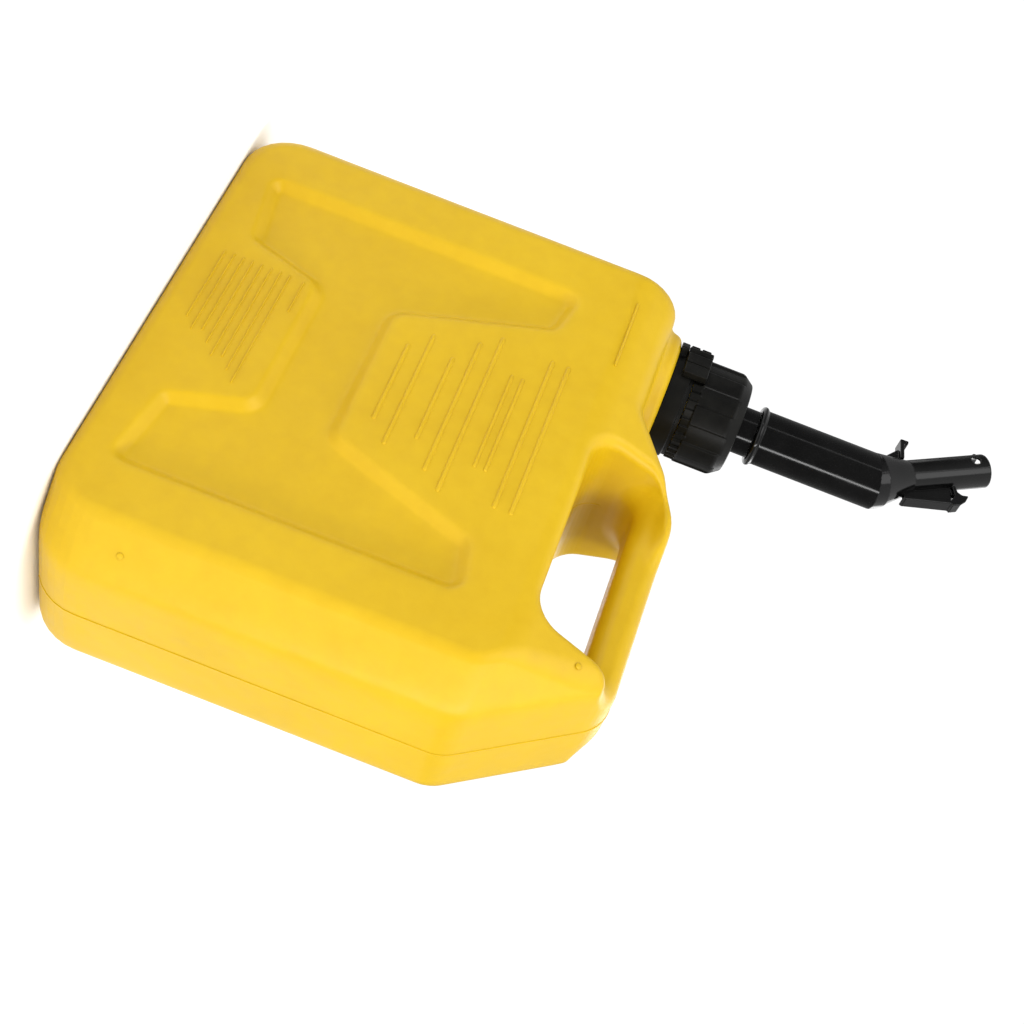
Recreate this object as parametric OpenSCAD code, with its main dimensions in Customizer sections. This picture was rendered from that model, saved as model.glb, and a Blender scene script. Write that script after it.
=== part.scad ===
// Safety gas can: a blow-moulded jerry can with an integral handle, and a screw-on pourer whose
// sprung sleeve opens a valve when it is pushed down.
// Millimetres. +Z is up, the front panel faces -Y, and the neck is on the -X side.
// Each sub-part is drawn where it sits when the can is closed.

/* [Tank] */
// Overall width of the tank
tank_width = 280; // [230:1:340]
// Overall depth of the tank
tank_depth = 105; // [84:0.5:126]
// Height of the shoulder beside the neck
shoulder_height = 223; // [185:1:270]
// Thickness of the moulded wall
wall = 2; // [1.5:0.1:3]
// Width of the 45 degree bevels along the upright edges
bevel = 20; // [12:0.5:26]
// Radius of the two bottom corners
foot_radius = 26; // [12:1:40]
// Depth of the H-shaped stiffening recess in both panels
recess_depth = 4; // [2:0.5:6]
// Distance from the recess to the tank's sides
recess_margin = 47; // [40:1:52]
// Distance of the fill line below the shoulder
fill_drop = 20; // [19:0.5:30]

/* [Handle] */
// Rise of the handle above the shoulder
handle_rise = 32; // [26:1:44]
// Height of the grip bar
bar_height = 18; // [14:0.5:24]
// Depth of the grip bar, front to back
bar_depth = 36; // [26:1:44]
// Depth of the finger gap's floor below the shoulder
gap_drop = 16.5; // [8:0.5:24]
// Width of the horn between the neck and the finger gap, at its foot
horn_width = 27; // [24:1:34]
// Width of the pillar between the finger gap's floor and the tank's right side
pillar_width = 55; // [52:1:66]

/* [Neck] */
// Distance of the neck's axis from the tank's left side
neck_inset = 44.5; // [42:0.5:56]
// Radius of the step that the neck stands on
pedestal_radius = 33; // [30:0.5:36]
// Height of that step
pedestal_height = 8; // [4:0.5:12]
// Outside radius of the neck
neck_radius = 23.9; // [20:0.1:26]
// Thickness of the neck
neck_wall = 4.4; // [3.4:0.1:5]
// Length of the neck above the step
neck_length = 31; // [26:0.5:36]

/* [Collar and lock ring] */
// Thickness of the collar over its grip ribs
collar_wall = 2.75; // [2.4:0.05:5]
// Number of broad grip ribs
grip_ribs = 8; // [6:1:12]
// Number of ratchet teeth under the skirt
ratchet_teeth = 36; // [24:1:48]
// Height of the lock ring
ring_height = 9.5; // [7:0.5:11]
// Direction of the pawl block seen from above
pawl_angle = -95; // [-120:1:-80]
// Direction of the lever's pivot seen from above
pivot_angle = -118; // [-130:1:-112]
// Degrees that the lever swings when its tab is pressed
lever_swing = 4; // [2:0.5:5]

/* [Pourer] */
// Outside radius of the fixed stem
stem_radius = 12; // [10:0.1:13]
// Radial running clearance between the sleeve and the stem
sleeve_clearance = 0.08; // [0.02:0.01:0.1]
// Thickness of the sliding sleeve
sleeve_wall = 1.87; // [1.5:0.01:3]
// Length of the sleeve up to the bend
sleeve_length = 64; // [56:1:72]
// Distance the sleeve can be pushed down
sleeve_travel = 8; // [4:0.5:8]
// Outside radius of the tip tube
tip_radius = 8.9; // [7:0.1:10]
// Distance from the bend to the end of the tip
tip_reach = 64; // [54:1:72]
// Lean of the tip from upright
tip_lean = 31.5; // [20:0.5:40]
// Coils in the return spring
spring_coils = 7; // [4:1:10]

/* [Hidden] */
$fn = 64;
yellow = [0.91, 0.73, 0.16];
black = [0.05, 0.05, 0.05];
satin_black = [0.09, 0.09, 0.09];
rubber = [0.03, 0.03, 0.03];
steel = [0.72, 0.73, 0.75];
natural = [0.86, 0.85, 0.80];

half_w = tank_width / 2;
half_d = tank_depth / 2;
handle_top = shoulder_height + handle_rise;
gap_floor = shoulder_height - gap_drop;
bar_bottom = handle_top - bar_height;
lean_start = gap_floor - 1.5;
slope_start = handle_top - 62;
slope_run = 42.5;
top_half_depth = half_d - 19.5;
diagonal = (half_w - bevel + half_d) / sqrt(2);
diagonal_top = diagonal - 31.5;
far = 400;

neck_x = neck_inset - half_w;
neck_bore = neck_radius - neck_wall;
horn_foot = neck_x + pedestal_radius + 16.5;
horn_top = horn_foot + 38;
gap_left = horn_foot + horn_width;
gap_right = half_w - pillar_width;
fill_height = shoulder_height - fill_drop;
pedestal_top = shoulder_height + pedestal_height;
neck_top = pedestal_top + neck_length;
gasket = 1.5;
flange = 2.5;
flange_bottom = neck_top + gasket;
flange_top = flange_bottom + flange;
collar_bottom = pedestal_top + ring_height + 2.2;
tooth_top = collar_bottom + 4.6;
collar_top = flange_top + 5.6;
collar_bore = neck_radius + 0.1;
collar_radius = collar_bore + collar_wall;
tooth_tip = collar_radius - 0.55;

sleeve_bottom = collar_top + sleeve_travel + 0.9;
sleeve_bore = stem_radius + sleeve_clearance;
sleeve_radius = sleeve_bore + sleeve_wall;
bend_z = sleeve_bottom + sleeve_length;
stem_bore = stem_radius - 1.8;
stem_top = sleeve_bottom + 27.5;
guide_bottom = sleeve_bottom + 7.5;
guide_top = guide_bottom + 4;
spring_seat_z = stem_top + 10;
seat_z = spring_seat_z + 7.5;
seat_top = seat_z + 3;
rod_radius = 2;
vent_radius = 1.5;
vent_offset = stem_bore - vent_radius - 0.7;
seat_bore = vent_offset - vent_radius - 0.9;
plug_radius = seat_bore + 0.5;
tip_wall = 1.5;
tip_bore = tip_radius - tip_wall;
tip_vent_offset = tip_bore - vent_radius - 0.8;
taper_start = 3;
taper_length = 20;
pin_length = 20.8;
lever_bottom = pedestal_top + 4.3;
lever_top = collar_bottom + 5;

// ---------- helpers ----------

function unit(v) = v / norm(v);
function xz(p) = [p[0], p[1]];
function wrap(i, n) = (i + n) % n;

// A closed outline [x, z, radius] with each corner turned into an arc of n flats.
function rounded(pts, n = 6) = [
    for (i = [0 : len(pts) - 1])
        let (
            p = xz(pts[i]), r = pts[i][2],
            u = unit(xz(pts[wrap(i - 1, len(pts))]) - p),
            v = unit(xz(pts[wrap(i + 1, len(pts))]) - p),
            half = acos(u * v) / 2,
            c = p + unit(u + v) * r / sin(half),
            s = p + u * r / tan(half) - c,
            e = p + v * r / tan(half) - c,
            sweep = 180 - 2 * half
        )
        for (k = [0 : n]) c + (sin(sweep * (1 - k / n)) * s + sin(sweep * k / n) * e) / sin(sweep)
];

// The same outline, listed anticlockwise, moved inwards by w. Negative w moves it outwards.
function inset(pts, w) = [
    for (i = [0 : len(pts) - 1])
        let (
            p = xz(pts[i]),
            a = unit(p - xz(pts[wrap(i - 1, len(pts))])),
            b = unit(xz(pts[wrap(i + 1, len(pts))]) - p),
            na = [-a[1], a[0]], nb = [-b[1], b[0]],
            turn = a[0] * b[1] - a[1] * b[0],
            q = p + w * (na + nb) / (1 + na * nb)
        )
        [q[0], q[1], max(0.6, pts[i][2] - w * sign(turn))]
];

// Extrudes an outline drawn in X and Z along Y, between two Y values.
module along_y(y0, y1) {
    translate([0, y1, 0]) rotate([90, 0, 0]) linear_extrude(height = y1 - y0) children();
}

// Extrudes an outline drawn in Y and Z along X.
module along_x(x0, x1) {
    translate([x0, 0, 0]) rotate([90, 0, 90]) linear_extrude(height = x1 - x0) children();
}

module at_neck(z = 0) {
    translate([neck_x, 0, z]) children();
}

module ring(r_out, r_in, z0, z1) {
    at_neck(z0) difference() {
        cylinder(r = r_out, h = z1 - z0);
        translate([0, 0, -1]) cylinder(r = r_in, h = z1 - z0 + 2);
    }
}

// The frame of the leaning tip: its Z runs along the tip from the bend.
module at_tip() {
    translate([neck_x, 0, bend_z]) rotate([0, -tip_lean, 0]) children();
}

// A sector between two radii and two directions.
module sector(r_out, r_in, a0, a1) {
    difference() {
        intersection() {
            circle(r = r_out);
            polygon([[0, 0], for (k = [0 : 4]) far / 4 * [cos(a0 + (a1 - a0) * k / 4),
                sin(a0 + (a1 - a0) * k / 4)]]);
        }
        circle(r = r_in);
    }
}

// ---------- tank ----------

body_outline = [
    [-half_w, 0, foot_radius], [half_w, 0, foot_radius], [half_w, slope_start, 16],
    [half_w - slope_run, handle_top, 16], [horn_top, handle_top, 34], [horn_foot, shoulder_height, 10],
    [-half_w, shoulder_height, 24]
];
window_outline = [
    [gap_left, gap_floor, 13], [gap_right + 2, gap_floor, 15],
    [gap_right + 6, handle_top - 11, 13], [gap_right + 23, handle_top + 1, 3],
    [gap_right + 23, handle_top + 18, 4], [gap_left + 34, handle_top + 18, 4],
    [gap_left, bar_bottom - 1, 16]
];
side_outline = [
    [-half_d, 0, 7], [half_d, 0, 7], [half_d, lean_start, 24], [top_half_depth, handle_top, 9],
    [-top_half_depth, handle_top, 9], [-half_d, lean_start, 24]
];
// Seen along each upright bevel, with its ends rounded so that the panels have round corners.
bevel_end = 18;
right_corner_outline = [
    [-far, 0, 1], [diagonal, 0, bevel_end], [diagonal, slope_start + 3, 16],
    [diagonal_top, handle_top, 2], [diagonal_top - 2.8, handle_top + 5, 1], [-far, handle_top + 5, 1]
];
left_corner_outline = [
    [-far, 0, 1], [diagonal, 0, bevel_end], [diagonal, shoulder_height, bevel_end],
    [diagonal - 30, shoulder_height, 1], [diagonal - 30, handle_top + 5, 1], [-far, handle_top + 5, 1]
];
bar_outline = [
    [-bar_depth / 2, bar_bottom, 8], [bar_depth / 2, bar_bottom, 8],
    [bar_depth / 2, handle_top, 8], [-bar_depth / 2, handle_top, 8]
];
recess_bottom = 17;
recess_top = shoulder_height - 45;
recess_edge = half_w - recess_margin;
lower_panel_top = recess_bottom + 44 / 161 * (recess_top - recess_bottom);
upper_panel_foot = recess_top - 78 / 161 * (recess_top - recess_bottom);
recess_right = [
    [recess_edge - 55, lower_panel_top, 8], [recess_edge - 43, recess_bottom + 7, 7],
    [recess_edge, recess_bottom, 7], [recess_edge, recess_top, 8],
    [recess_edge - 28, recess_top - 6, 8], [recess_edge - 54, upper_panel_foot, 8]
];
recess_outline = concat(recess_right, [for (i = [5 : -1 : 0])
    [-recess_right[i][0], recess_right[i][1], recess_right[i][2]]]);
base_half_w = half_w - 40;
base_half_d = half_d - 22.5;
base_outline = [
    [-base_half_w, -base_half_d, 12], [base_half_w, -base_half_d, 12],
    [base_half_w, base_half_d, 12], [-base_half_w, base_half_d, 12]
];

// The moulded body without its neck, drawn w inside the outer skin.
module body_solid(w) {
    intersection() {
        along_y(-far, far) polygon(rounded(inset(body_outline, w)));
        along_x(-far, far) polygon(rounded(inset(side_outline, w), 4));
        corner_cut(45, right_corner_outline, w);
        corner_cut(-45, right_corner_outline, w);
        corner_cut(135, left_corner_outline, w);
        corner_cut(225, left_corner_outline, w);
        union() {
            difference() {
                translate([-far / 2, -far / 2, 0]) cube(far);
                along_y(-far, far) polygon(rounded(inset(window_outline, -w)));
            }
            along_x(gap_left - 10, half_w - 20) polygon(rounded(inset(bar_outline, w), 4));
        }
    }
}

// Everything inside one upright bevel, which faces a direction seen from above.
module corner_cut(direction, outline, w) {
    rotate([0, 0, direction]) along_y(-far, far) polygon(rounded(inset(outline, w), 3));
}

// Both panels' stiffening recesses, starting at a distance from the middle plane.
module recesses(from_middle, grow) {
    for (side = [-1, 1])
        along_y(min(side * from_middle, side * far), max(side * from_middle, side * far))
            polygon(rounded(inset(recess_outline, -grow), 3));
}

module tank() color(yellow) difference() {
    union() {
        difference() {
            body_solid(0);
            recesses(half_d - recess_depth, 0);
            translate([0, 0, -1]) linear_extrude(height = 3) polygon(rounded(base_outline, 4));
        }
        for (side = [-1, 1]) translate([neck_x + 16.5, side * (half_d + 0.05), fill_height])
            cube([43, 1.1, 1.2], center = true);
        at_neck(shoulder_height - 8) cylinder(r = pedestal_radius, h = pedestal_height + 8);
        at_neck(pedestal_top - 1) cylinder(r = neck_radius, h = neck_length + 1);
        for (side = [-1, 1]) translate([neck_x + side * (neck_radius + 0.3), 0, pedestal_top + 3.5])
            cube([3, 3, 9], center = true);
    }
    difference() {
        body_solid(wall);
        recesses(half_d - recess_depth - wall, wall);
        translate([0, 0, -1]) linear_extrude(height = 3 + wall)
            polygon(rounded(inset(base_outline, -wall), 4));
    }
    at_neck(shoulder_height - 12) cylinder(r = pedestal_radius - wall, h = pedestal_height + 12 - wall);
    at_neck(shoulder_height - 12) cylinder(r = neck_bore, h = far);
}

// ---------- lock ring and release lever ----------

pivot_r = collar_radius + 2.45;
lever_in = collar_radius + 0.35;
lever_out = collar_radius + 2.7;

module lock_ring() color(satin_black) difference() {
    union() {
        ring(collar_radius, neck_radius + 0.05, pedestal_top, pedestal_top + ring_height);
        ring(neck_radius + 1.5, neck_radius + 0.05, pedestal_top, collar_bottom - 0.15);
        at_neck(pedestal_top) linear_extrude(height = 4) difference() {
            sector(pivot_r + 2.4, neck_radius + 1, pivot_angle - 6, pivot_angle + 6);
            circle(r = neck_radius + 0.5);
        }
    }
    for (side = [-1, 1]) translate([neck_x + side * (neck_radius + 0.3), 0, pedestal_top + 4])
        cube([3.2, 3.2, 8.4], center = true);
    at_neck(pedestal_top + 1) rotate([0, 0, pivot_angle]) translate([pivot_r, 0, 0])
        cylinder(r = 1.2, h = 10);
}

module lever_pin() color(steel) at_neck(pedestal_top + 1) rotate([0, 0, pivot_angle])
    translate([pivot_r, 0, 0]) cylinder(r = 1.2, h = lever_top - pedestal_top - 0.8);

// Turns what is drawn about the neck's axis by an angle about the lever's pin.
module about_pivot(angle) {
    pin = pivot_r * [cos(pivot_angle), sin(pivot_angle), 0];
    translate(pin) rotate([0, 0, angle]) translate(-pin) children();
}

module release_lever() color(satin_black) at_neck(lever_bottom) difference() {
    union() {
        linear_extrude(height = lever_top - lever_bottom) {
            sector(lever_out, lever_in, pivot_angle - 30, pawl_angle + 12);
            rotate([0, 0, pivot_angle]) translate([pivot_r, 0]) circle(r = 2.3);
        }
        translate([0, 0, 1]) linear_extrude(height = lever_top - lever_bottom - 2)
            sector(lever_out + 1.4, lever_in, pivot_angle - 30, pivot_angle - 20);
        rotate([0, 0, pawl_angle]) translate([lever_in, -7.2, 0])
            cube([3.4, 14.4, lever_top - lever_bottom]);
    }
    rotate([0, 0, pivot_angle]) translate([pivot_r, 0, -1]) cylinder(r = 1.28, h = far);
    for (swing = [0, lever_swing]) about_pivot(swing) translate([0, 0, -1])
        cylinder(r = lever_in, h = far);
    rotate([0, 0, pivot_angle - 26]) translate([lever_out + 0.6, -far / 2, 6])
        cube([2, far, 1.2]);
}

// ---------- collar ----------

module collar_section() {
    circle(r = collar_radius - 0.8);
    for (k = [0 : grip_ribs - 1])
        sector(collar_radius, neck_radius, k * 360 / grip_ribs - 11, k * 360 / grip_ribs + 11);
}

module collar() color(satin_black) at_neck() difference() {
    union() {
        intersection() {
            translate([0, 0, tooth_top]) linear_extrude(height = collar_top - tooth_top)
                collar_section();
            union() {
                translate([0, 0, tooth_top])
                    cylinder(r = collar_radius + 1, h = flange_top - tooth_top);
                translate([0, 0, flange_top]) cylinder(r1 = collar_radius, r2 = collar_radius - 4.1,
                    h = collar_top - flange_top);
            }
        }
        translate([0, 0, collar_bottom]) linear_extrude(height = 4.7)
            polygon([for (k = [0 : ratchet_teeth - 1]) each [
                tooth_tip * [cos(k * 360 / ratchet_teeth), sin(k * 360 / ratchet_teeth)],
                (tooth_tip - 1) * [cos((k + 0.15) * 360 / ratchet_teeth),
                    sin((k + 0.15) * 360 / ratchet_teeth)]]]);
    }
    translate([0, 0, collar_bottom - 1]) cylinder(r = collar_bore, h = flange_top + 1 - collar_bottom);
    translate([0, 0, flange_top - 1]) difference() {
        cylinder(r = neck_bore + 0.5, h = 4);
        translate([0, 0, -1]) cylinder(r = stem_radius + 2, h = 6);
    }
    cylinder(r = stem_radius + 0.3, h = far);
}

module neck_gasket() color(rubber) ring(neck_radius - 0.4, neck_bore + 0.2, neck_top, flange_bottom);

// ---------- fixed stem and its valve ----------

module stem_tube() color(black) {
    difference() {
        union() {
            ring(neck_radius - 0.3, stem_bore, flange_bottom, flange_top);
            ring(stem_radius, stem_bore, flange_top - 1, stem_top);
            ring(neck_bore - 0.5, neck_bore - 2.1, flange_bottom - 5, flange_bottom + 1);
        }
        ring(stem_radius + 1, stem_radius - 1, sleeve_bottom + 3, sleeve_bottom + 4.4);
        ring(stem_radius + 1, stem_radius - 1, sleeve_bottom + 14, sleeve_bottom + 15.4);
    }
}

module o_ring(z) {
    at_neck(z) rotate_extrude() translate([stem_radius - 0.47, 0]) circle(r = 0.52);
}
module lower_o_ring() color(rubber) o_ring(sleeve_bottom + 3.7);
module upper_o_ring() color(rubber) o_ring(sleeve_bottom + 14.7);

screen_radius = neck_bore - 2.15;
screen_bottom = neck_top - 36;
module flame_screen() color(steel) difference() {
    at_neck(screen_bottom) cylinder(r = screen_radius, h = flange_bottom - screen_bottom - 0.1);
    at_neck(screen_bottom + 1) cylinder(r = screen_radius - 0.8, h = far);
    for (a = [0 : 30 : 150], row = [0 : 4]) at_neck(screen_bottom + 6 + row * 5.4)
        rotate([0, 0, a]) cube([far, 3.6, 3.6], center = true);
    for (a = [0 : 60 : 300]) at_neck(screen_bottom - 1) rotate([0, 0, a]) translate([9, 0, 0])
        cylinder(r = 2.4, h = 3);
}

// A hub carried by three arms, with a notch for the vent tube.
module spider(r_out, r_hub, r_hole, z0, z1, notch) {
    difference() {
        union() {
            ring(r_out, r_out - 1, z0, z1);
            ring(r_hub, r_hole, z0, z1);
            for (a = [90, 210, 330]) at_neck(z0) rotate([0, 0, a]) translate([r_hub - 0.5, -0.8, 0])
                cube([r_out - r_hub, 1.6, z1 - z0]);
        }
        translate([neck_x, -vent_offset, z0 - 1]) cylinder(r = notch, h = z1 - z0 + 2);
    }
}

module rod_guide() color(natural)
    spider(stem_bore - 0.02, 4.8, rod_radius + 0.01, guide_bottom, guide_top, vent_radius + 0.4);

module valve_rod() color(steel) at_neck(guide_bottom) cylinder(r = rod_radius, h = seat_top + 5 - guide_bottom);

plug_bottom = seat_top + 1.4;
module valve_plug() color(natural) at_neck(plug_bottom) difference() {
    union() {
        cylinder(r = plug_radius, h = 6);
        translate([0, 0, 6]) cylinder(r1 = plug_radius, r2 = 3, h = 4);
    }
    translate([0, 0, -1]) cylinder(r = rod_radius + 0.01, h = seat_top + 6 - plug_bottom);
}
module valve_seal() color(rubber) ring(plug_radius + 0.1, rod_radius + 0.02, seat_top + 0.05,
    plug_bottom);

// ---------- return spring ----------

spring_r = 3.6;
wire_r = 0.5;
spring_low = guide_top + wire_r + 0.02;
spring_high = spring_seat_z - wire_r - 0.02;
steps = 20;
sides = 8;
turns = spring_coils + 1.5;
function coil_z(t) = spring_low + (spring_high - spring_low)
    * min(1, max(0, (t - 0.75) / (turns - 1.5)));
module return_spring() color(steel) at_neck() polyhedron(
    points = [
        for (i = [0 : turns * steps], j = [0 : sides - 1])
            let (a = 360 * i / steps, b = 360 * j / sides, r = spring_r + wire_r * cos(b))
            [r * cos(a), r * sin(a), coil_z(i / steps) + 0.13 * (i / steps - turns / 2) / turns
                + wire_r * 0.86 * sin(b)]
    ],
    faces = [
        [for (j = [0 : sides - 1]) j],
        [for (j = [0 : sides - 1]) turns * steps * sides + sides - 1 - j],
        for (i = [0 : turns * steps - 1], j = [0 : sides - 1])
            let (k = (j + 1) % sides)
            [i * sides + k, i * sides + j, (i + 1) * sides + j, (i + 1) * sides + k]
    ]
);

// ---------- sliding sleeve and nozzle ----------

module spring_seat() color(natural)
    spider(sleeve_bore - 0.02, 5, rod_radius + 0.08, spring_seat_z, spring_seat_z + 3, vent_radius + 0.02);

module throat_seat() color(natural) difference() {
    ring(sleeve_bore - 0.02, seat_bore, seat_z, seat_top);
    at_neck(seat_z - 0.01) cylinder(r1 = seat_bore + 1.6, r2 = seat_bore, h = 1.6);
    translate([neck_x, -vent_offset, seat_z - 1]) cylinder(r = vent_radius + 0.02, h = 5);
}

// The side of the mitre plane, which halves the bend: +1 towards the tip, -1 towards the can.
module bend_half(side) {
    intersection() {
        children();
        at_neck(bend_z) rotate([0, -tip_lean / 2, 0])
            translate([-far / 2, -far / 2, side > 0 ? 0 : -far]) cube(far);
    }
}

module sleeve() color(black) difference() {
    union() {
        bend_half(-1) ring(sleeve_radius, sleeve_bore, sleeve_bottom, bend_z + 15);
        at_neck(sleeve_bottom + 1.8) rotate_extrude() translate([sleeve_radius - 0.4, 0]) circle(r = 1.8);
    }
    at_neck(sleeve_bottom - 5) cylinder(r = sleeve_bore, h = 20);
}

module nozzle() color(black) difference() {
    union() {
        bend_half(1) at_tip() rotate_extrude() polygon([
            [sleeve_bore, -20], [sleeve_radius, -20], [sleeve_radius, taper_start],
            [tip_radius + 0.2, taper_length], [tip_radius + 0.2, tip_reach - pin_length],
            [tip_radius, tip_reach - pin_length], [tip_radius, tip_reach],
            [tip_bore, tip_reach], [tip_bore, taper_length], [sleeve_bore, taper_start]
        ]);
    }
    at_tip() translate([-1.5, 0, tip_reach - 7]) rotate([90, 0, 0]) cylinder(r = 2.4, h = far);
}

hook_width = 7;
module rim_hook() color(black) at_tip() translate([tip_radius, 0, 0]) {
    along_y(-1.2, 1.2) polygon([[-0.2, 14], [4.7, 13], [9.7, 37], [-0.2, 42.6]]);
    along_y(-hook_width / 2, hook_width / 2) polygon([[4.2, 11.2], [5.7, 12.4], [10.9, 36.4],
        [12.1, 36.6], [12.1, 41], [10.5, 44.6], [7.4, 47.6], [6.5, 44.2], [4.3, 42.4], [1, 42.8],
        [1, 40.8], [6.1, 40], [9.1, 37], [3.7, 13.2]]);
}

// The catch ends at the taper's outside, whatever the sizes of the barrel and the tip.
module rim_catch() color(black) difference() {
    translate([neck_x - sleeve_radius, 0, bend_z]) {
        along_y(-4, 4) polygon([[-4.65, 10.8], [-16.65, 8.6], [-16.85, 13.2], [-14.65, 13.2],
            [-14.25, 11.2], [-4.95, 12.9]]);
        along_y(-1, 1) polygon([[-0.05, 1], [-0.6, 0.6], [-12.05, 9.6], [-4.65, 11.6],
            [-3.25, 6.6], [-1.85, 4]]);
    }
    bend_half(1) at_tip() rotate_extrude() polygon([[0, -20], [sleeve_radius, -20],
        [sleeve_radius, taper_start], [tip_radius + 0.2, taper_length], [0, taper_length]]);
}

vent_bottom = flange_bottom + 4;
// The vent tube stands beside the valve and leans with the tip to the vent hole.
module vent_path(r, cut) {
    at_neck(vent_bottom - cut) translate([0, -vent_offset, 0])
        cylinder(r = r, h = bend_z - vent_bottom + cut);
    translate([neck_x, -vent_offset, bend_z]) sphere(r = r + 0.12);
    lean = atan((vent_offset - tip_vent_offset) / 22);
    translate([neck_x, -vent_offset, bend_z]) rotate([0, -tip_lean, 0]) rotate([-lean, 0, 0])
        cylinder(r = r, h = 22 / cos(lean));
    at_tip() translate([0, -tip_vent_offset, 22]) sphere(r = r + 0.12);
    at_tip() translate([0, -tip_vent_offset, 22]) cylinder(r = r, h = tip_reach - 26 + cut);
}
module vent_tube() color(natural) difference() {
    vent_path(vent_radius, 0);
    vent_path(vent_radius - 0.5, 1);
}

tank();
lock_ring();
lever_pin();
release_lever();
collar();
neck_gasket();
stem_tube();
flame_screen();
lower_o_ring();
upper_o_ring();
rod_guide();
valve_rod();
valve_plug();
valve_seal();
return_spring();
spring_seat();
throat_seat();
sleeve();
nozzle();
rim_hook();
rim_catch();
vent_tube();
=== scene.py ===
"""Looks for the safety gas can: a blow-moulded yellow tank with an integral handle, a satin black
screw collar in a ratchet lock ring, and a gloss black pouring spout with a rim hook and a catch.

Lengths are in millimetres in the can's own frame until a mesh is made, and then in metres.
"""

import math

import bpy
import numpy as np
from mathutils import Matrix, Vector


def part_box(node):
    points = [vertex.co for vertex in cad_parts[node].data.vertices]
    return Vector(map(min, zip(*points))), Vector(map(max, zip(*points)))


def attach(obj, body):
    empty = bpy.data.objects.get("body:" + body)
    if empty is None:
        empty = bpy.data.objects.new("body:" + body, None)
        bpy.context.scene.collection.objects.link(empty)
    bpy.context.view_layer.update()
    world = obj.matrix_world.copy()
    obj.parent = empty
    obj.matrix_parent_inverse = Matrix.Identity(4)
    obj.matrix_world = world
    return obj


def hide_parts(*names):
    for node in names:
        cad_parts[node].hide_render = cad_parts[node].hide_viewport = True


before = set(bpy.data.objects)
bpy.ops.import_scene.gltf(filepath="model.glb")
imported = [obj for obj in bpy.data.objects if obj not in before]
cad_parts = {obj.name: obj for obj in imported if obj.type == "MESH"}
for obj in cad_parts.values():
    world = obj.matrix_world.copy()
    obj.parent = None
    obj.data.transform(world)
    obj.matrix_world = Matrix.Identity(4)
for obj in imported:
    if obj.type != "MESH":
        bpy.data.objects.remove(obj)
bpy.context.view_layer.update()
MM = 0.001


def extent(cad_node):
    """Lowest and highest corner of a CAD node, in millimetres."""
    low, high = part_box(cad_node)
    return np.array(low) / MM, np.array(high) / MM


# ---------- sizes, taken from the CAD nodes where they can be ----------

tank_high = extent("tank")[1]
collar_low, collar_high = extent("collar")
ring_low, ring_high = extent("lock_ring")
sleeve_low, sleeve_high = extent("sleeve")
stem_low, stem_high = extent("stem_tube")
lever_low, lever_high = extent("release_lever")

HALF_WIDTH = tank_high[0]
FILL_LINE_PROUD = 0.6
HALF_DEPTH = tank_high[1] - FILL_LINE_PROUD
NECK_X = (collar_low[0] + collar_high[0]) / 2
HANDLE_TOP = 255.0
SHOULDER = 223.0
BAR_BOTTOM = 237.0
BAR_HALF_DEPTH = 18.0
GAP_FLOOR = 206.5
LEAN_START = GAP_FLOOR - 1.5
LEAN_IN = 19.5
SLOPE_START = 193.0
BEVEL = 20.0
FOOT_RADIUS = 26
TOP_OUT = 273
PEDESTAL_TOP = ring_low[2]
RING_HEIGHT = 9.5
PEDESTAL_RADIUS = 33.0
NECK_RADIUS = 23.9
NECK_BORE = 19.5
COLLAR_RADIUS = 26.75
COLLAR_BORE = 24.0
COLLAR_CHAMFER = 5.6
TOOTH_HEIGHT = 4.6
STEM_RADIUS = 12.0
STEM_BORE = 10.2
BARREL_RADIUS = 13.95
BARREL_BORE = 12.08
BEND_Z = 344.5
TIP_LEAN = math.radians(31.5)
TIP_RADIUS = 8.9
TIP_BORE = 7.4
TIP_REACH = 64.0
TAPER = (3.0, 20.0)
PIVOT_ANGLE = math.radians(-118)
PAWL_ANGLE = math.radians(-95)
PIVOT_RADIUS = 29.2


# ---------- shapes as signed distances, negative inside ----------

def both(a, b, edge):
    """Where a and b overlap, with the edge between them rounded."""
    return np.minimum(np.maximum(a, b), -edge) + np.hypot(
        np.maximum(a + edge, 0), np.maximum(b + edge, 0))


def either(a, b, fillet):
    """a and b joined, with a fillet between them."""
    return -both(-a, -b, fillet)


def less(a, b, edge):
    """a with b taken away, with the rim rounded."""
    return both(a, -b, edge)


def soft_max(a, b, width):
    return 0.5 * (a + b + np.sqrt((a - b) ** 2 + width ** 2))


def ramp(value, start, end):
    t = np.clip((value - start) / (end - start), 0, 1)
    return t * t * (3 - 2 * t)


def rounded(corners, flats=8):
    """A closed outline (u, v, radius) with each corner turned into an arc."""
    points = []
    for i, (pu, pv, radius) in enumerate(corners):
        p = np.array((pu, pv))
        a = np.array(corners[i - 1][:2]) - p
        b = np.array(corners[(i + 1) % len(corners)][:2]) - p
        a, b = a / np.linalg.norm(a), b / np.linalg.norm(b)
        half = math.acos(a @ b) / 2
        middle = p + (a + b) / np.linalg.norm(a + b) * radius / math.sin(half)
        start, end = p + a * radius / math.tan(half) - middle, p + b * radius / math.tan(half) - middle
        sweep = math.pi - 2 * half
        for k in range(flats + 1):
            t = k / flats
            points.append(middle + (math.sin(sweep * (1 - t)) * start
                                    + math.sin(sweep * t) * end) / math.sin(sweep))
    return points


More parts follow.
